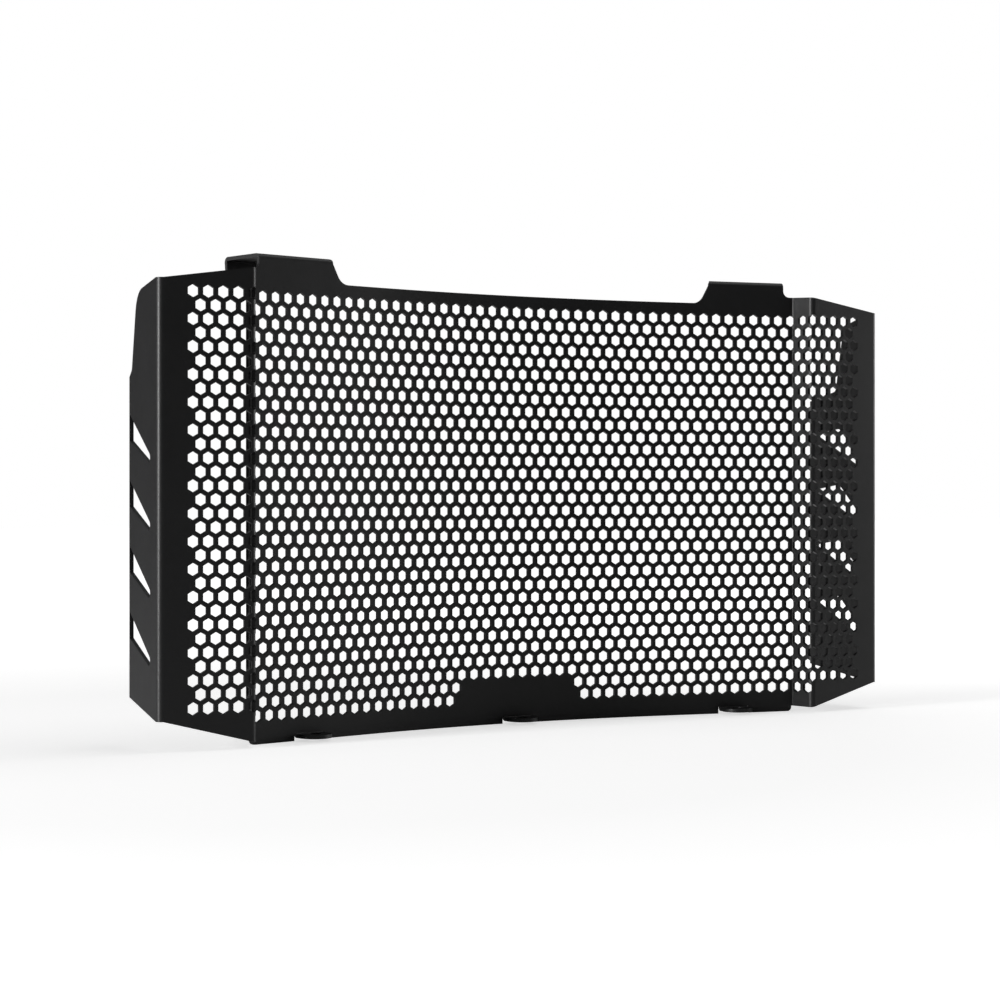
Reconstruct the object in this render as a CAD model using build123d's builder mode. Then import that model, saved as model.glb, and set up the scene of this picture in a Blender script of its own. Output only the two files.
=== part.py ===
from build123d import *
from math import cos, radians, sin, sqrt, tan
import os

# Motorcycle radiator guard: one aluminium sheet, punched with hexagons and folded.
# Front towards -Y, top towards +Z, standing on the bottom edge of its main panel.
# Millimetres and degrees. Plan sizes run along the middle of the sheet.

# Sheet
sheet = 2.0                  # thickness
fold_radius = 0.8            # inside radius of the folds

# Plan, from the middle of the guard outwards
main_half_width = 175.6      # middle to the fold at the step
main_sweep = 11.2            # forward turn of the panel's straight ends
main_radius = 512.0          # hollow curve that joins the two ends
step_width = 15.1            # fold to fold
step_angle = 79.7            # forward turn of the step
wing_width = 50.2            # fold to fold
wing_sweep = 4.0             # backward fall of the wing
flange_depth = 53.4          # fold to rear edge
flange_lean = 6.4            # inward lean of the side flange
flange_flat = 1.0            # plain run beside the outer fold

# Heights
main_top = 239.5             # bottom edge to the top edge between the hooks
step_rise = 4.5              # rise of the top edge beside the hooks
wing_fall_inner = 0.7        # fall of the top edge over the step
wing_fall_outer = 7.0        # fall of the top edge over the wing
step_bottom = 3.2
wing_bottom_outer = 15.6
foot_round = 2.5             # lower corners of the main panel

# Hooks on the top edge
hook_rise = 8.5              # top edge beside the hook to the upper face of its lip
hook_gap = 6.7               # fold of the step to the hook's outer edge
hook_width = 47.8            # width where the upstand starts to fold
hook_slant = 28.0            # lean of the hook's inner edge
hook_outer_round = 3.8       # root of the outer edge
hook_inner_round = 7.5       # root of the inner edge
lip_depth = 28.0             # panel to the turned-down end
lip_drop = 12.0              # lip to the lower edge of the turned-down end

# Bottom tabs
tab_offset = 138.8           # middle to the outer tabs
tab_width = 17.6             # also the diameter of the round end
tab_reach = 14.7             # panel to the end of the tab
tab_height = 1.0             # bottom edge of the panel to the tab's lower face
tab_fold_radius = 1.0        # inside radius
tab_relief = 1.0             # gap on each side of the tab
tab_hole = 6.5               # diameter

# Side flanges: depths run behind the fold, drops below the top of the wing's outer end
flange_bottom_rear = 23.5    # height of the lower rear corner
shoulder_fall = 7.1          # downward slope of the top edge
shoulder_round = 14.0
knee_round = 3.0
left_shoulder = 38.9
left_knee = 48.5
left_knee_drop = 43.8
left_heel_drop = 47.3
right_shoulder = 24.7
right_knee = 31.5
right_knee_drop = 45.8
right_heel_drop = 51.3

# Slots in the side flanges, with rises above the middle of the tip: those on the left
# end straight beside the rear edge, those on the right have a crown and end in a point
slot_count = 4
slot_pitch = 34.0
slot_tip_drop = 89.5         # to the middle of the round front tip of the first slot
slot_tip_radius = 2.5
left_slot_tip = 15.7         # fold to the middle of the tip
left_slot_bridge = 1.1       # rear end of the slot to the rear edge
left_slot_upper_rise = 22.8
left_slot_lower_rise = 9.3
right_slot_tip = 12.1
right_slot_crown = 28.6      # fold to the crown
right_slot_crown_rise = 21.8
right_slot_point = 48.3      # fold to the rear point
right_slot_point_rise = 17.4

# Punched hexagons, with two points up and down
hole_width = 13.8            # across flats
hole_pitch = 20.54           # between holes of one row
field_top_margin = 5.7       # top edge to the upper points of the top row
field_bottom = 11.1          # lower points of the bottom row
fold_margin = 0.3            # hole to the line of a fold
wing_border = 11.0           # last hole to the outer fold
apron_half_width = 44.0      # plain area above the middle tab
apron_height = 22.0


def heading(angle):
    """Unit vector in plan, turned from +X towards +Y."""
    return Vector(cos(radians(angle)), sin(radians(angle)), 0)


# Plan of the right half, along the middle of the sheet. The hollow curve is pressed in
# flats one hole pitch wide, so that each press line runs through a column of holes.
fold_middle = fold_radius + sheet / 2
press_count = round(radians(main_sweep) * main_radius / hole_pitch)
press_points = [Vector(0, 0, 0)]
for index in range(press_count):
    flat_angle = main_sweep * (index + 0.5) / press_count
    press_points.append(press_points[-1] + heading(-flat_angle) * hole_pitch)
end_run = (main_half_width - press_points[-1].X) / cos(radians(main_sweep))
main_corner = press_points[-1] + heading(-main_sweep) * end_run
step_corner = main_corner + heading(-step_angle) * step_width
outer_corner = step_corner + heading(wing_sweep) * wing_width
flange_heading = 90 + flange_lean
outer_fold_run = fold_middle * tan(radians((flange_heading - wing_sweep) / 2))
flange_start = outer_fold_run + flange_flat
flange_end = outer_corner + heading(flange_heading) * flange_depth

# The origin lies midway between the foremost fold and the rear edges
front_fold_reach = fold_middle / cos(radians((step_angle + wing_sweep) / 2))
front_fold_centre = step_corner + heading(90 + (wing_sweep - step_angle) / 2) * front_fold_reach
foremost = front_fold_centre.Y - fold_middle - sheet / 2
rearmost = flange_end.Y + sheet / 2 * sin(radians(flange_lean))
to_origin = Vector(0, -(foremost + rearmost) / 2, 0)
press_points = [point + to_origin for point in press_points]
main_corner += to_origin
step_corner += to_origin
outer_corner += to_origin

with BuildLine() as half_plan:
    FilletPolyline(
        *press_points,
        main_corner,
        step_corner,
        outer_corner,
        outer_corner + heading(flange_heading) * flange_start,
        radius=[0] * press_count + [fold_middle] * 3,
    )
half_line = half_plan.wires()[0]
with BuildLine() as plan:
    add(half_plan.line)
    mirror(about=Plane.YZ)

# Workplane on the right end of the panel: x along it, y to the rear, z up
end_plane = Plane(origin=main_corner, x_dir=heading(-main_sweep), z_dir=(0, 0, 1))


def plan_point(run):
    """Point of the plan, at a run along the sheet from its middle."""
    rest = abs(run)
    for edge in half_line.edges():
        if rest <= edge.length:
            break
        rest -= edge.length
    point = edge.position_at(rest, position_mode=PositionMode.LENGTH)
    return point if run > 0 else Vector(-point.X, point.Y, point.Z)


def sheet_plane(run, height):
    """Workplane on the folded sheet: x along it, y up, z to the front."""
    along = plan_point(run + sheet) - plan_point(run - sheet)
    origin = plan_point(run) + Vector(0, 0, height)
    return Plane(origin=origin, x_dir=along, z_dir=along.cross(Vector(0, 0, 1)))


def fold_run(corner):
    """Run along the sheet from its middle to the fold at a corner of the plan."""
    fold = half_line.edges().filter_by(GeomType.CIRCLE).sort_by_distance(corner)[0]
    return half_line.param_at_point(fold @ 0.5) * half_line.length


# Heights of the top edge, from the hook to the side flange
step_top = main_top + step_rise
hook_top = step_top + hook_rise
wing_top_inner = step_top - wing_fall_inner
wing_top_outer = wing_top_inner - wing_fall_outer

# Hook: upstand folded to the rear and turned down, drawn on the panel's right end
hook_shoulder = hook_top - sheet - fold_radius
lip_middle = hook_top - sheet / 2
with BuildPart() as hook:
    with BuildSketch(Plane.YZ.offset(-hook_gap)):
        with BuildLine():
            FilletPolyline(
                (0, hook_shoulder - sheet),
                (0, lip_middle),
                (lip_depth, lip_middle),
                (lip_depth, hook_top - lip_drop),
                radius=fold_middle,
            )
        trace(line_width=sheet)
    extrude(amount=-hook_width)
    # The inner edge of the lip carries on the slant of the upstand
    with BuildSketch(Plane.XY.offset(hook_top - lip_drop - sheet)):
        with BuildLine():
            lip_end = lip_depth + sheet
            inner_edge = -hook_gap - hook_width
            Polyline(
                (inner_edge, 0),
                (inner_edge + lip_end * tan(radians(hook_slant)), lip_end),
                (inner_edge - sheet, lip_end),
                (inner_edge - sheet, 0),
                close=True,
            )
        make_face()
    extrude(amount=lip_drop + 2 * sheet, mode=Mode.SUBTRACT)

# Bottom tab: folded to the front, with a round end and a hole for its screw
tab_middle = tab_height + sheet / 2
tab_root = tab_height + sheet + tab_fold_radius
tab_hole_reach = tab_reach - tab_width / 2
with BuildPart() as tab:
    with BuildSketch(Plane.YZ):
        with BuildLine():
            FilletPolyline(
                (0, tab_root + sheet),
                (0, tab_middle),
                (-tab_reach, tab_middle),
                radius=tab_fold_radius + sheet / 2,
            )
        trace(line_width=sheet)
    extrude(amount=tab_width / 2, both=True)
    with BuildSketch():
        with Locations((0, -tab_hole_reach)):
            Circle(tab_width / 2)
        with Locations((0, (sheet - tab_hole_reach) / 2)):
            Rectangle(tab_width, tab_hole_reach + sheet)
        with Locations((0, -tab_hole_reach)):
            Circle(tab_hole / 2, mode=Mode.SUBTRACT)
    extrude(amount=tab_root + 2 * sheet, mode=Mode.INTERSECT)

# Punch for one hexagon
hole_height = hole_width * 2 / sqrt(3)
with BuildPart() as punch:
    with BuildSketch():
        RegularPolygon(radius=hole_height / 2, side_count=6, rotation=30)
    extrude(amount=2 * sheet, both=True)


def hole_planes():
    """Workplanes of all hexagons: rows half a pitch apart in turn, clear of the folds."""
    top_height = main_top - field_top_margin - hole_height / 2
    bottom_height = field_bottom + hole_height / 2
    row_gaps = round((top_height - bottom_height) / (hole_pitch * sqrt(3) / 2))
    row_pitch = (top_height - bottom_height) / row_gaps
    half_pitch = hole_pitch / 2
    main_run = fold_run(main_corner)
    step_run = fold_run(step_corner)
    last_run = fold_run(outer_corner) - wing_border - hole_width / 2
    clear = hole_width / 2 + fold_margin
    planes = []
    for row in range(row_gaps + 1):
        height = top_height - row * row_pitch
        column_limit = int(last_run / half_pitch)
        for column in range(-column_limit, column_limit + 1):
            run = column * half_pitch
            in_turn = (column + row) % 2 == 0
            off_folds = min(abs(abs(run) - fold) for fold in (main_run, step_run)) >= clear
            in_apron = abs(run) < apron_half_width and height < apron_height
            if in_turn and off_folds and not in_apron:
                planes.append(sheet_plane(run, height))
    return planes


def flange_outline(shoulder, knee, knee_drop, heel_drop):
    """Corners and rounds of a side flange, from its fold round the rear edge."""
    shoulder_height = wing_top_outer - (shoulder - flange_start) * tan(radians(shoulder_fall))
    corners = [
        (flange_start, wing_bottom_outer),
        (flange_start, wing_top_outer),
        (shoulder, shoulder_height),
        (knee, wing_top_outer - knee_drop),
        (flange_depth, wing_top_outer - heel_drop),
        (flange_depth, flange_bottom_rear),
    ]
    return corners, [0, 0, shoulder_round, knee_round, 0, 0]



def flange_slot(tip, upper, lower):
    """First slot of a side flange: a belt round its front tip and its two rear corners."""
    tip_height = wing_top_outer - slot_tip_drop
    upper_depth, upper_rise = upper
    lower_depth, lower_rise = lower
    with BuildSketch() as slot:
        with BuildLine():
            Line((upper_depth, tip_height + upper_rise), (lower_depth, tip_height + lower_rise))
            CenterArc((tip, tip_height), slot_tip_radius, 0, 360)
        make_hull()
    return slot.sketch


left_slot_rear = flange_depth - left_slot_bridge
left_slot = flange_slot(
    left_slot_tip, (left_slot_rear, left_slot_upper_rise), (left_slot_rear, left_slot_lower_rise)
)
right_slot = flange_slot(
    right_slot_tip, (right_slot_crown, right_slot_crown_rise), (right_slot_point, right_slot_point_rise)
)

# Front outline of the right half, without the hook's fold
end_slope = cos(radians(main_sweep))
hook_outer_x_gap = hook_gap * end_slope
hook_outer_x = main_corner.X - hook_outer_x_gap
hook_inner_x = hook_outer_x - hook_width * end_slope
hook_root_x = hook_inner_x - (hook_shoulder - main_top) * tan(radians(hook_slant)) * end_slope
wing_end_x = outer_corner.X - outer_fold_run * cos(radians(wing_sweep))
outside_x = outer_corner.X + sheet
outer_round = min(hook_outer_round, hook_outer_x_gap, hook_shoulder - step_top)
outline_corners = [
    (main_corner.X, 0, min(foot_round, step_bottom)),
    (main_corner.X, step_bottom, 0),
    (step_corner.X, step_bottom, 0),
    (wing_end_x, wing_bottom_outer, 0),
    (outside_x, wing_bottom_outer, 0),
    (outside_x, wing_top_outer, 0),
    (wing_end_x, wing_top_outer, 0),
    (step_corner.X, wing_top_inner, 0),
    (main_corner.X, step_top, 0),
    (hook_outer_x, step_top, outer_round),
    (hook_outer_x, hook_shoulder, 0),
    (hook_inner_x, hook_shoulder, 0),
    (hook_root_x, main_top, hook_inner_round),
]

with BuildPart() as guard_sheet:
    # Panel, steps and wings: the plan drawn up to full height, then cut to the front outline
    with BuildSketch():
        trace(plan.line, line_width=sheet)
    extrude(amount=hook_top)
    with BuildSketch(Plane.XZ):
        with BuildLine():
            FilletPolyline(
                *[(x, z) for x, z, _ in outline_corners],
                *[(-x, z) for x, z, _ in reversed(outline_corners)],
                radius=[r for _, _, r in outline_corners + outline_corners[::-1]],
                close=True,
            )
        make_face()
    extrude(amount=flange_depth + main_half_width, both=True, mode=Mode.INTERSECT)

    # Side flanges, each drawn flat on its own plane with its slots
    for side, shape, slot in (
        (1, flange_outline(right_shoulder, right_knee, right_knee_drop, right_heel_drop), right_slot),
        (-1, flange_outline(left_shoulder, left_knee, left_knee_drop, left_heel_drop), left_slot),
    ):
        rearward = heading(flange_heading)
        flange_plane = Plane(
            origin=(side * outer_corner.X, outer_corner.Y, 0),
            x_dir=(side * rearward.X, rearward.Y, 0),
            z_dir=(rearward.Y, -side * rearward.X, 0),
        )
        corners, rounds = shape
        with BuildSketch(flange_plane):
            with BuildLine():
                FilletPolyline(*corners, radius=rounds, close=True)
            make_face()
            with Locations(*[(0, -index * slot_pitch) for index in range(slot_count)]):
                add(slot, mode=Mode.SUBTRACT)
        extrude(amount=sheet / 2, both=True)

    # Hooks on both ends of the top edge
    with Locations(end_plane.location):
        add(hook.part)
    mirrored_hook = mirror(hook.part.moved(end_plane.location), about=Plane.YZ, mode=Mode.PRIVATE)
    add(mirrored_hook)

    # Bottom tabs in their reliefs
    tab_planes = [sheet_plane(run, 0) for run in (-tab_offset, 0, tab_offset)]
    for plane in tab_planes:
        upright = Plane(origin=plane.origin, x_dir=plane.x_dir, z_dir=(0, 0, 1))
        with BuildSketch(upright):
            Rectangle(tab_width + 2 * tab_relief, tab_width)
        extrude(amount=tab_root, mode=Mode.SUBTRACT)
        with Locations(upright.location):
            add(tab.part)

    # Hexagons, punched square to the sheet
    with Locations(*[plane.location for plane in hole_planes()]):
        add(punch.part, mode=Mode.SUBTRACT)

guard_sheet.part.label = "guard_sheet"

os.makedirs("parts", exist_ok=True)
export_step(guard_sheet.part, "parts/guard_sheet.step")
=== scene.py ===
import cmath
import math

import bpy
import numpy as np
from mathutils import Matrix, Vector


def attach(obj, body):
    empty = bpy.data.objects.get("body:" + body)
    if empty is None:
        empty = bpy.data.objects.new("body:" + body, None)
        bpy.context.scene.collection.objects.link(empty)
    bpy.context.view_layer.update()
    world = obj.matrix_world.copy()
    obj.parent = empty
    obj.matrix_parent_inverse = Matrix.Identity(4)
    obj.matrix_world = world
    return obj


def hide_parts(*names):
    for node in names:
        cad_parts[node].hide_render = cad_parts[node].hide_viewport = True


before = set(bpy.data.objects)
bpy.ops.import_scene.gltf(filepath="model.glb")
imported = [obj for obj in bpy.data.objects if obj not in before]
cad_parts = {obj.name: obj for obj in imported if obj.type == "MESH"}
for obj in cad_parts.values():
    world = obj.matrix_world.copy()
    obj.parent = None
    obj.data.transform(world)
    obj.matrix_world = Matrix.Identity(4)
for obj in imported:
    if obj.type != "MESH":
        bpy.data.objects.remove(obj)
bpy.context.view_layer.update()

# Main panel, in front of the radiator: the middle of one aluminium sheet, rolled hollow between two
# straight ends. The whole sheet is drawn flat first, by runs along it from its middle and by heights
# above its bottom edge. Sizes are in millimetres and degrees, on the middle layer of the sheet.
MAIN_RADIUS = 512.0
MAIN_SWEEP = 11.2
MAIN_HALF_WIDTH = 175.6
MAIN_TOP = 239.5
arc_run = MAIN_RADIUS * math.radians(MAIN_SWEEP)
arc_end = MAIN_RADIUS * cmath.exp(1j * math.radians(90 - MAIN_SWEEP)) - 1j * MAIN_RADIUS
end_length = (MAIN_HALF_WIDTH - arc_end.real) / math.cos(math.radians(MAIN_SWEEP))
main_run = arc_run + end_length

# Bottom edge of the panel with its three tabs: lugs with a round end and a hole for a screw, which stand
# between narrow relief cuts and later fold forwards. The foot beside each step has a round corner.
# Each corner of the sheet is given by its run, its height and its round.
TAB_RUN = 138.8
TAB_CORNER = 2.6
TAB_ROOT = 4.0
TAB_REACH = 14.7
TAB_RELIEF = 1.0
TAB_ROUND = 8.8
ROUND_SPARE = 0.01
TAB_END_ROUND = TAB_ROUND - ROUND_SPARE
TAB_HOLE = 3.25
FOOT_ROUND = 2.5
FOOT_TRIM = 1.5
ARC_DEGREES = 15
tab_end = TAB_CORNER - TAB_REACH
relief = TAB_ROUND + TAB_RELIEF
foot_run = main_run - FOOT_TRIM
bottom_corners = [
    (TAB_ROUND, tab_end, TAB_END_ROUND),
    (TAB_ROUND, TAB_ROOT, 0),
    (relief, TAB_ROOT, 0),
    (relief, 0, 0),
    (TAB_RUN - relief, 0, 0),
    (TAB_RUN - relief, TAB_ROOT, 0),
    (TAB_RUN - TAB_ROUND, TAB_ROOT, 0),
    (TAB_RUN - TAB_ROUND, tab_end, TAB_END_ROUND),
    (TAB_RUN + TAB_ROUND, tab_end, TAB_END_ROUND),
    (TAB_RUN + TAB_ROUND, TAB_ROOT, 0),
    (TAB_RUN + relief, TAB_ROOT, 0),
    (TAB_RUN + relief, 0, 0),
    (foot_run, 0, FOOT_ROUND),
]
screw_holes = []
for tab in (-TAB_RUN, 0, TAB_RUN):
    centre = complex(tab, tab_end + TAB_ROUND)
    angles = [math.radians(ARC_DEGREES * step) for step in range(360 // ARC_DEGREES)]
    screw_holes.append([centre + cmath.rect(TAB_HOLE, angle) for angle in angles])

# Steps and wings: beside the panel the sheet folds forwards into a narrow step, then out into a wing that
# falls back a little. Outwards the wing's top edge goes down and its bottom edge goes up.
STEP_WIDTH = 15.1
STEP_ANGLE = 79.7
STEP_TOP = 244.3
STEP_BOTTOM = 3.2
WING_WIDTH = 50.2
WING_SWEEP = 4.0
WING_TOP_INNER = 243.6
WING_TOP_OUTER = 236.6
WING_BOTTOM = 15.6
OUTER_FOLD_CUT = 1.88
step_run = main_run + STEP_WIDTH
outer_run = step_run + WING_WIDTH
wing_end = outer_run - OUTER_FOLD_CUT
wing_bottom_corners = [
    (foot_run, STEP_BOTTOM, 0),
    (step_run, STEP_BOTTOM, 0),
    (wing_end, WING_BOTTOM, 0),
]
wing_top_corners = [
    (wing_end, WING_TOP_OUTER, 0),
    (step_run, WING_TOP_INNER, 0),
    (main_run, STEP_TOP, 0),
]

# Side flanges: the outer ends of the sheet, folded back along the radiator's sides. Above a knee the rear
# edge steps in to a wide round shoulder, further on the right flange than on the left one.
FLANGE_DEPTH = 53.4
FLANGE_LEAN = 6.4
FLANGE_FLAT = 1.0
FLANGE_BOTTOM_REAR = 23.5
KNEE_ROUND = 3.0
SHOULDER_ROUND = 14.0
flange_start = OUTER_FOLD_CUT + FLANGE_FLAT


def flange_corners(top_start, top_fall, shoulder, knee, knee_height, heel_height):
    """Corners of a side flange from its bottom edge round to its top edge, by depths behind its fold."""
    shoulder_height = WING_TOP_OUTER - (shoulder - top_start) * math.tan(math.radians(top_fall))
    return [
        (outer_run + flange_start, WING_BOTTOM, 0),
        (outer_run + FLANGE_DEPTH, FLANGE_BOTTOM_REAR, 0),
        (outer_run + FLANGE_DEPTH, heel_height, 0),
        (outer_run + knee, knee_height, KNEE_ROUND),
        (outer_run + shoulder, shoulder_height, SHOULDER_ROUND),
        (outer_run + top_start, WING_TOP_OUTER, 0),
    ]


right_flange_corners = flange_corners(
    top_start=-1.5, top_fall=12.0, shoulder=24.7, knee=31.5, knee_height=190.7, heel_height=185.2)
left_flange_corners = flange_corners(
    top_start=2.9, top_fall=7.1, shoulder=38.9, knee=48.5, knee_height=192.7, heel_height=189.2)

# Four slots in each side flange, which taper to a round tip at the front. On the left flange they end
# straight beside the rear edge, on the right flange they have a round crown and end in a point. Each is
# drawn as a belt round three circles of depth, height and radius.
SLOT_COUNT = 4
SLOT_PITCH = 34.0
LEFT_SLOT = [(52.3, 156.3, 0), (15.7, 147.0, 2.5), (52.3, 169.8, 0)]
RIGHT_SLOT = [(46.7, 164.4, 0.9), (12.1, 147.0, 2.5), (29.9, 164.4, 3.5)]
ARC_STEP = math.radians(ARC_DEGREES)


def belt_outline(circles):
    """Points of the outline that a belt takes, clockwise round circles of depth, height and radius."""
    points = []
    for index, (depth, height, radius) in enumerate(circles):
        angles = []
        for start, end in ((index - 1, index), (index, (index + 1) % len(circles))):
            way = complex(*circles[end][:2]) - complex(*circles[start][:2])
            angles.append(cmath.phase(way) + math.acos((circles[start][2] - circles[end][2]) / abs(way)))
        turn = (angles[0] - angles[1]) % (2 * math.pi)
        steps = math.ceil(turn / ARC_STEP) if radius else 0
        points += [complex(depth, height) + cmath.rect(radius, angles[0] - turn * step / max(steps, 1))
                   for step in range(steps + 1)]
    return points


slots = []
for side, shape in ((-1, LEFT_SLOT), (1, RIGHT_SLOT)):
    for slot in range(SLOT_COUNT):
        circles = [(depth, height - slot * SLOT_PITCH, radius) for depth, height, radius in shape]
        outline = belt_outline(circles)
        slots.append([complex(side * (outer_run + point.real), point.imag) for point in outline])

# Hooks, which hang the guard on the radiator's top rail: at both ends of the panel its top edge rises into
# an upstand, which folds back into a lip and turns down behind the rail. The inner edge slants, and the
# lip carries that slant on.
LIP_CORNER = 251.8
LIP_DEPTH = 29.2
LIP_DROP = 11.0
LIP_LEAN = 6.0
HOOK_SHOULDER = 250.0
HOOK_GAP = 6.7
HOOK_WIDTH = 47.8
HOOK_SLANT = math.tan(math.radians(28.0))
HOOK_OUTER_ROUND = 3.8
HOOK_INNER_ROUND = 7.5
hook_outer = main_run - HOOK_GAP
hook_inner = hook_outer - HOOK_WIDTH
hook_root = hook_inner - (HOOK_SHOULDER - MAIN_TOP) * HOOK_SLANT
lip_inner = hook_inner + LIP_DEPTH * HOOK_SLANT
lip_end = LIP_CORNER + LIP_DEPTH
hook_corners = [
    (hook_outer, STEP_TOP, HOOK_OUTER_ROUND),
    (hook_outer, lip_end + LIP_DROP, 0),
    (lip_inner, lip_end + LIP_DROP, 0),
    (lip_inner, lip_end, 0),
    (hook_inner, LIP_CORNER, 0),
    (hook_inner, HOOK_SHOULDER, 0),
    (hook_root, MAIN_TOP, HOOK_INNER_ROUND),
]

# Hexagonal air holes with two points up and down, in rows half a pitch apart in turn over panel, steps and
# wings. The folds take up sheet, so the columns on steps and wings lie further out than the pitch alone
# says. The last two rows leave out a plain apron above the middle tab.
HOLE_WIDTH = 5.85
HOLE_POINT = HOLE_WIDTH / math.sqrt(3)
HALF_PITCH = 4.0
ROW_PITCH = 6.963
TOP_ROW = 230.43
LAST_ROW = 31
LAST_COLUMN = 56
WING_COLUMN = 48
WING_GAIN = 1.45
STEP_COLUMN = 45
STEP_GAIN = 1.6
APRON_COLUMN = {30: 10, 31: 11}
hexagon = [cmath.rect(HOLE_POINT, math.radians(30 + 60 * point)) for point in range(6)]
hexagons = []
for row in range(LAST_ROW + 1):
    last = WING_COLUMN if row == LAST_ROW else LAST_COLUMN
    for column in range(-last, last + 1):
        if (column + row) % 2 == 0 and abs(column) >= APRON_COLUMN.get(row, 0):
            gain = 0
            if abs(column) >= STEP_COLUMN:
                gain = WING_GAIN if abs(column) >= WING_COLUMN else STEP_GAIN
            run = column * HALF_PITCH + math.copysign(gain, column)
            centre = complex(run, TOP_ROW - row * ROW_PITCH)
            hexagons.append([centre + point for point in hexagon])


# Blank: the flat sheet, cut by laser round its outline, its screw holes, slots and hexagons. The outline
# goes up the right half, round from the middle tab to the top edge, and back down the left half.
def rounded_outline(corners):
    """Points of a closed outline, from corners of run, height and round."""
    points = []
    for index, (run, height, radius) in enumerate(corners):
        corner = complex(run, height)
        if not radius:
            points.append(corner)
            continue
        before = complex(*corners[index - 1][:2]) - corner
        after = complex(*corners[(index + 1) % len(corners)][:2]) - corner
        before /= abs(before)
        after /= abs(after)
        half = abs(cmath.phase(after / before)) / 2
        middle = before + after
        centre = corner + middle / abs(middle) * radius / math.sin(half)
        start = corner + before * radius / math.tan(half) - centre
        turn = cmath.phase((corner + after * radius / math.tan(half) - centre) / start)
        steps = math.ceil(abs(turn) / ARC_STEP)
        points += [centre + start * cmath.exp(1j * turn * step / steps) for step in range(steps + 1)]
    return points


right_half, left_half = (
    bottom_corners + wing_bottom_corners + flange + wing_top_corners + hook_corners
    for flange in (right_flange_corners, left_flange_corners))
mirrored_half = [(-run, height, radius) for run, height, radius in reversed(left_half)]
cuts = [rounded_outline(right_half + mirrored_half)] + screw_holes + slots + hexagons

drawing = bpy.data.curves.new("guard_sheet_drawing", "CURVE")
drawing.dimensions = "2D"
drawing.fill_mode = "BOTH"
for cut in cuts:
    spline = drawing.splines.new("POLY")
    spline.points.add(len(cut) - 1)
    for point, place in zip(spline.points, cut):
        point.co = (place.real, place.imag, 0, 1)
    spline.use_cyclic_u = True
bpy.ops.object.select_all(action="DESELECT")
guard = bpy.data.objects.new("guard_sheet_visual", drawing)
bpy.context.collection.objects.link(guard)
bpy.context.view_layer.objects.active = guard
guard.select_set(True)
bpy.ops.object.convert(target="MESH")
guard = bpy.context.object
bpy.ops.object.mode_set(mode="EDIT")
bpy.ops.mesh.select_all(action="SELECT")
bpy.ops.mesh.beautify_fill()

# Folds: the blank is rolled hollow over its middle, then pressed forwards at the steps, out at the wings
# and back at the side flanges. The hooks fold back over the top and down, the tabs forwards. The mesh gets
# an edge along every line of a bend, and a pair beside each fold that keeps the sheet flat up to it.
FOLD_RADIUS = 1.8
TAB_FOLD_RADIUS = 1.4
FOLD_STEPS = 6
FOLD_HOLD = 0.4
ROLL_STEP = 8.0
WELD = 0.001


def folded_path(run, start, legs, radius):
    """Runs and places along straight legs of heading and length, which meet in round folds."""
    samples = [(run, start)]
    corner = start
    for (heading, length), (next_heading, next_length) in zip(legs, legs[1:]):
        ahead = cmath.rect(1, math.radians(heading))
        turn = math.radians(next_heading - heading)
        corner += ahead * length
        run += length
        cut = radius * math.tan(abs(turn) / 2)
        to_centre = 1j * ahead * math.copysign(radius, turn)
        centre = corner - ahead * cut + to_centre
        hold = cut + FOLD_HOLD
        samples.append((run - hold, corner - ahead * hold))
        for step in range(FOLD_STEPS + 1):
            share = step / FOLD_STEPS
            samples.append((run + (2 * share - 1) * cut, centre - to_centre * cmath.exp(1j * turn * share)))
        samples.append((run + hold, corner + cmath.rect(hold, math.radians(next_heading))))
    samples.append((run + next_length, corner + cmath.rect(next_length, math.radians(next_heading))))
    runs, places = zip(*samples)
    return np.array(runs), np.array(places)


roll_runs = np.linspace(0, arc_run, math.ceil(arc_run / ROLL_STEP) + 1)
roll_places = MAIN_RADIUS * np.exp(1j * (math.pi / 2 - roll_runs / MAIN_RADIUS)) - 1j * MAIN_RADIUS
plan_legs = [
    (-MAIN_SWEEP, end_length),
    (-STEP_ANGLE, STEP_WIDTH),
    (WING_SWEEP, WING_WIDTH),
    (90 + FLANGE_LEAN, FLANGE_DEPTH),
]
fold_runs, fold_places = folded_path(arc_run, arc_end, plan_legs, FOLD_RADIUS)
plan_runs = np.concatenate([roll_runs, fold_runs[1:]])
plan_places = np.concatenate([roll_places, fold_places[1:]])
hook_legs = [(90, LIP_CORNER), (0, LIP_DEPTH), (-90 - LIP_LEAN, LIP_DROP)]
hook_runs, hook_places = folded_path(0, 0, hook_legs, FOLD_RADIUS)
tab_legs = [(-90, STEP_TOP - TAB_CORNER), (-180, TAB_REACH)]
tab_runs, tab_places = folded_path(0, 1j * STEP_TOP, tab_legs, TAB_FOLD_RADIUS)
tab_heights = STEP_TOP - tab_runs

for line in np.concatenate([-plan_runs[1:-1], plan_runs[:-1]]):
    bpy.ops.mesh.select_all(action="SELECT")
    bpy.ops.mesh.bisect(plane_co=(line, 0, 0), plane_no=(1, 0, 0))
for line in np.concatenate([hook_runs[1:-1], tab_heights[1:-1]]):
    bpy.ops.mesh.select_all(action="SELECT")
    bpy.ops.mesh.bisect(plane_co=(0, line, 0), plane_no=(0, 1, 0))
bpy.ops.mesh.select_all(action="SELECT")
bpy.ops.mesh.remove_doubles(threshold=WELD)
bpy.ops.mesh.dissolve_degenerate(threshold=WELD)
bpy.ops.object.mode_set(mode="OBJECT")


def along_path(values, path_values, path_places):
    """Places on a path, at values between those of its samples."""
    order = np.argsort(path_values)
    return np.interp(values, path_values[order], path_places[order].real) + 1j * np.interp(
        values, path_values[order], path_places[order].imag)


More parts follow.
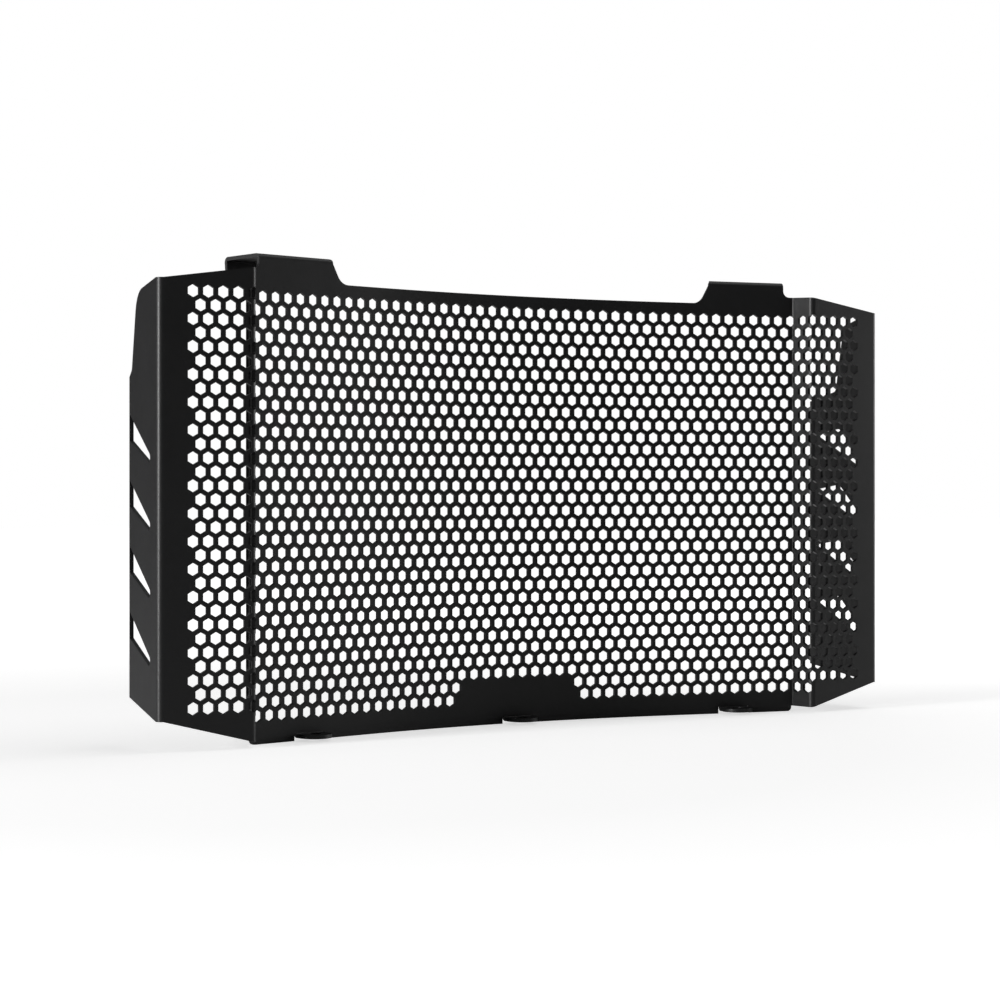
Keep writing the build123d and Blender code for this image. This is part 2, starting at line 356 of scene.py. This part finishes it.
PANEL_MIDDLE = 11.79
MM_PER_METRE = 1000
flat = np.empty(len(guard.data.vertices) * 3)
guard.data.vertices.foreach_get("co", flat)
flat = flat.reshape(-1, 3)
runs, heights = flat[:, 0], flat[:, 1]
side = np.where(runs < 0, -1, 1)
plan = along_path(np.abs(runs), plan_runs, plan_places)
rise = heights.copy()
rear_of_end = cmath.rect(1, math.radians(90 - MAIN_SWEEP))

on_hook = heights > HOOK_SHOULDER
hook = along_path(heights, hook_runs, hook_places)
plan = np.where(on_hook, plan + rear_of_end * hook.real, plan)
rise = np.where(on_hook, hook.imag, rise)

tab_fold = along_path(heights, tab_heights, tab_places)
for tab, rear in ((0, 1j), (TAB_RUN, rear_of_end)):
    on_tab = (heights < TAB_ROOT) & (np.abs(np.abs(runs) - tab) < TAB_ROUND + TAB_RELIEF / 2)
    root = along_path(tab, plan_runs, plan_places)
    tab_plan = root + rear * -1j * (np.abs(runs) - tab) + rear * tab_fold.real
    plan = np.where(on_tab, tab_plan, plan)
    rise = np.where(on_tab, tab_fold.imag, rise)

folded = np.stack([side * plan.real, plan.imag + PANEL_MIDDLE, rise], axis=1) / MM_PER_METRE
guard.data.vertices.foreach_set("co", folded.ravel())
guard.data.update()

# The sheet gets its thickness on both sides of its middle layer
SHEET = 2.0
SMOOTH_ANGLE = 30
thickness = guard.modifiers.new("thickness", "SOLIDIFY")
thickness.thickness = SHEET / MM_PER_METRE
thickness.offset = 0
bpy.ops.object.modifier_apply(modifier="thickness")
bpy.ops.object.mode_set(mode="EDIT")
bpy.ops.mesh.select_all(action="SELECT")
bpy.ops.mesh.normals_make_consistent(inside=False)
bpy.ops.object.mode_set(mode="OBJECT")
bpy.ops.object.shade_smooth_by_angle(angle=math.radians(SMOOTH_ANGLE))

# Satin black powder coat over the whole sheet: a thin baked film with a fine orange-peel skin, a little
# uneven in tone and gloss. Lengths are in metres from here on.
COAT_DARK = (0.008, 0.008, 0.0085, 1)
COAT_LIGHT = (0.012, 0.012, 0.0125, 1)
COAT_GLOSSY = 0.40
COAT_DULL = 0.48
MOTTLE_SCALE = 60
MOTTLE_DETAIL = 4
PEEL_SCALE = 1400
PEEL_DETAIL = 2
PEEL_STRENGTH = 0.12
PEEL_HEIGHT = 0.0003
coat = bpy.data.materials.new("satin_black_powder_coat")
coat.use_nodes = True
nodes = coat.node_tree.nodes
links = coat.node_tree.links
shader = nodes["Principled BSDF"]
place = nodes.new("ShaderNodeTexCoord")
mottle = nodes.new("ShaderNodeTexNoise")
mottle.inputs["Scale"].default_value = MOTTLE_SCALE
mottle.inputs["Detail"].default_value = MOTTLE_DETAIL
tone_range = nodes.new("ShaderNodeValToRGB")
tone_range.color_ramp.elements[0].color = COAT_DARK
tone_range.color_ramp.elements[1].color = COAT_LIGHT
gloss_range = nodes.new("ShaderNodeMapRange")
gloss_range.inputs["To Min"].default_value = COAT_GLOSSY
gloss_range.inputs["To Max"].default_value = COAT_DULL
peel = nodes.new("ShaderNodeTexNoise")
peel.inputs["Scale"].default_value = PEEL_SCALE
peel.inputs["Detail"].default_value = PEEL_DETAIL
skin = nodes.new("ShaderNodeBump")
skin.inputs["Strength"].default_value = PEEL_STRENGTH
skin.inputs["Distance"].default_value = PEEL_HEIGHT
links.new(place.outputs["Object"], mottle.inputs["Vector"])
links.new(place.outputs["Object"], peel.inputs["Vector"])
links.new(mottle.outputs["Fac"], tone_range.inputs["Fac"])
links.new(tone_range.outputs["Color"], shader.inputs["Base Color"])
links.new(mottle.outputs["Fac"], gloss_range.inputs["Value"])
links.new(gloss_range.outputs["Result"], shader.inputs["Roughness"])
links.new(peel.outputs["Fac"], skin.inputs["Height"])
links.new(skin.outputs["Normal"], shader.inputs["Normal"])
guard.data.materials.clear()
guard.data.materials.append(coat)
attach(guard, "root")
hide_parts("guard_sheet")

# Studio floor of white paper, which keeps the soft shadow under the guard. To the camera the paper glows up
# to white,
# with painted shade: the glow is weaker near the guard, round a middle left of it. For mirrored rays the
# paper glows that white only close behind the right half of the guard, a painted reflection in the coat.
FLOOR_SIZE = 12
PAPER_COLOUR = (0.8, 0.8, 0.8, 1)
PAPER_ROUGHNESS = 0.9
PAPER_SPECULAR = 0.1
SHADE_MIDDLE = (-0.15, 0, 0)
SHADE_NEAR = 0.3
SHADE_FAR = 1.2
SHADE_GLOW = 0.60
MIRROR_MIDDLE = (0.2, 0.1, 0)
MIRROR_NEAR = 0.2
MIRROR_FAR = 0.45
FLOOR_BACKWARD = (0.35, 0.937, 0)
FLOOR_EDGE_START = 0.09
FLOOR_EDGE_END = 0.16


def measured(tree, operation, vector, fixed):
    """Socket with a vector's distance from a fixed one, or its dot product with it."""
    node = tree.nodes.new("ShaderNodeVectorMath")
    node.operation = operation
    node.inputs[1].default_value = fixed
    tree.links.new(vector, node.inputs[0])
    return node.outputs["Value"]


def eased(tree, value, start, end, low=0.0):
    """Socket that goes from low to one while a value goes from start to end."""
    node = tree.nodes.new("ShaderNodeMapRange")
    node.inputs["From Min"].default_value = start
    node.inputs["From Max"].default_value = end
    node.inputs["To Min"].default_value = low
    tree.links.new(value, node.inputs["Value"])
    return node.outputs["Result"]


def white_where_seen(tree, plain, white, mirrored_share, surface):
    """Give the camera the white shader, mirrors a share of it, and all other light the plain one."""
    ray = tree.nodes.new("ShaderNodeLightPath")
    share = tree.nodes.new("ShaderNodeMath")
    share.operation = "MULTIPLY_ADD"
    tree.links.new(ray.outputs["Is Glossy Ray"], share.inputs[0])
    tree.links.new(mirrored_share, share.inputs[1])
    tree.links.new(ray.outputs["Is Camera Ray"], share.inputs[2])
    seen = tree.nodes.new("ShaderNodeMixShader")
    tree.links.new(share.outputs["Value"], seen.inputs["Fac"])
    tree.links.new(plain, seen.inputs[1])
    tree.links.new(white, seen.inputs[2])
    tree.links.new(seen.outputs["Shader"], surface)


bpy.ops.object.select_all(action="DESELECT")
bpy.ops.mesh.primitive_plane_add(size=FLOOR_SIZE)
floor = bpy.context.object
floor.name = "studio_floor"
paper = bpy.data.materials.new("white_paper")
paper.use_nodes = True
tree = paper.node_tree
matt = tree.nodes["Principled BSDF"]
matt.inputs["Base Color"].default_value = PAPER_COLOUR
matt.inputs["Roughness"].default_value = PAPER_ROUGHNESS
matt.inputs["Specular IOR Level"].default_value = PAPER_SPECULAR
spot = tree.nodes.new("ShaderNodeTexCoord").outputs["Object"]
# Painted shade on the floor: its glow stays at SHADE_GLOW within SHADE_NEAR of SHADE_MIDDLE and reaches
# full white at SHADE_FAR.
from_shade = measured(tree, "DISTANCE", spot, SHADE_MIDDLE)
glow = tree.nodes.new("ShaderNodeEmission")
tree.links.new(eased(tree, from_shade, SHADE_NEAR, SHADE_FAR, SHADE_GLOW), glow.inputs["Strength"])
paper_glow_with_painted_shade = tree.nodes.new("ShaderNodeAddShader")
tree.links.new(matt.outputs["BSDF"], paper_glow_with_painted_shade.inputs[0])
tree.links.new(glow.outputs["Emission"], paper_glow_with_painted_shade.inputs[1])
# Painted reflection: mirrored rays see the floor glowing white only in a patch close behind the guard's
# right half.
backwards = measured(tree, "DOT_PRODUCT", spot, FLOOR_BACKWARD)
from_mirror = measured(tree, "DISTANCE", spot, MIRROR_MIDDLE)
painted_reflection_share = tree.nodes.new("ShaderNodeMath")
painted_reflection_share.operation = "MULTIPLY"
tree.links.new(eased(tree, backwards, FLOOR_EDGE_START, FLOOR_EDGE_END), painted_reflection_share.inputs[0])
tree.links.new(eased(tree, from_mirror, MIRROR_FAR, MIRROR_NEAR), painted_reflection_share.inputs[1])
white_where_seen(tree, matt.outputs["BSDF"], paper_glow_with_painted_shade.outputs["Shader"], painted_reflection_share.outputs["Value"],
                 tree.nodes["Material Output"].inputs["Surface"])
floor.data.materials.append(paper)

# Studio room: a white backdrop, which the camera sees all over and the coat mirrors only from behind the
# guard, and a faint even light in the rest of the room.
ROOM_COLOUR = (1, 1, 1, 1)
ROOM_LIGHT = 0.035
BACKDROP_WHITE = 1.0
BACKWARD = (0.507, 0.862, 0)
BACKDROP_EDGE = 0.85
BACKDROP_MIDDLE = 1.0
world = bpy.data.worlds.new("studio")
bpy.context.scene.world = world
world.use_nodes = True
tree = world.node_tree
room = tree.nodes["Background"]
room.inputs["Color"].default_value = ROOM_COLOUR
room.inputs["Strength"].default_value = ROOM_LIGHT
backdrop = tree.nodes.new("ShaderNodeBackground")
backdrop.inputs["Color"].default_value = ROOM_COLOUR
backdrop.inputs["Strength"].default_value = BACKDROP_WHITE
way = tree.nodes.new("ShaderNodeTexCoord").outputs["Generated"]
backwards = measured(tree, "DOT_PRODUCT", way, BACKWARD)
white_where_seen(tree, room.outputs["Background"], backdrop.outputs["Background"],
                 eased(tree, backwards, BACKDROP_EDGE, BACKDROP_MIDDLE),
                 tree.nodes["World Output"].inputs["Surface"])


# Soft boxes: a strong narrow one at the left of the guard, a faint one further back on that side, one at
# the right and a wide one overhead.
def soft_box(name, place, aim, size, power):
    """Rectangular lamp at a place, turned to what it aims at."""
    light = bpy.data.lights.new(name, "AREA")
    light.shape = "RECTANGLE"
    light.size, light.size_y = size
    light.energy = power
    lamp = bpy.data.objects.new(name, light)
    lamp.location = place
    lamp.rotation_euler = (Vector(aim) - Vector(place)).to_track_quat("-Z", "Y").to_euler()
    bpy.context.collection.objects.link(lamp)


GUARD_MIDDLE = (0, 0, 0.13)
GUARD_FOOT = (0, 0, 0)
soft_box("left_box", place=(-2.6, -0.18, 0.5), aim=GUARD_MIDDLE, size=(0.45, 0.9), power=62)
soft_box("left_back_box", place=(-2.2, 1.38, 0.5), aim=GUARD_MIDDLE, size=(1.1, 0.9), power=3)
soft_box("right_box", place=(2.6, -0.35, 0.5), aim=GUARD_MIDDLE, size=(0.7, 0.9), power=20)
soft_box("top_box", place=(0.6, -0.2, 1.8), aim=GUARD_FOOT, size=(1.6, 1.2), power=7.5)

# Camera: level, before the left end of the guard, with a long lens
camera_data = bpy.data.cameras.new("camera")
camera_data.sensor_width = 36
camera_data.lens = 80.79
camera_data.shift_x = -0.00046
camera_data.shift_y = -0.01195
camera_data.clip_start = 0.05
camera = bpy.data.objects.new("camera", camera_data)
camera.location = (-0.6473, -1.06971, 0.1318)
camera.rotation_euler = (math.radians(90), 0, math.radians(-30.49))
bpy.context.collection.objects.link(camera)
bpy.context.scene.camera = camera
bpy.context.scene.view_settings.view_transform = "Standard"
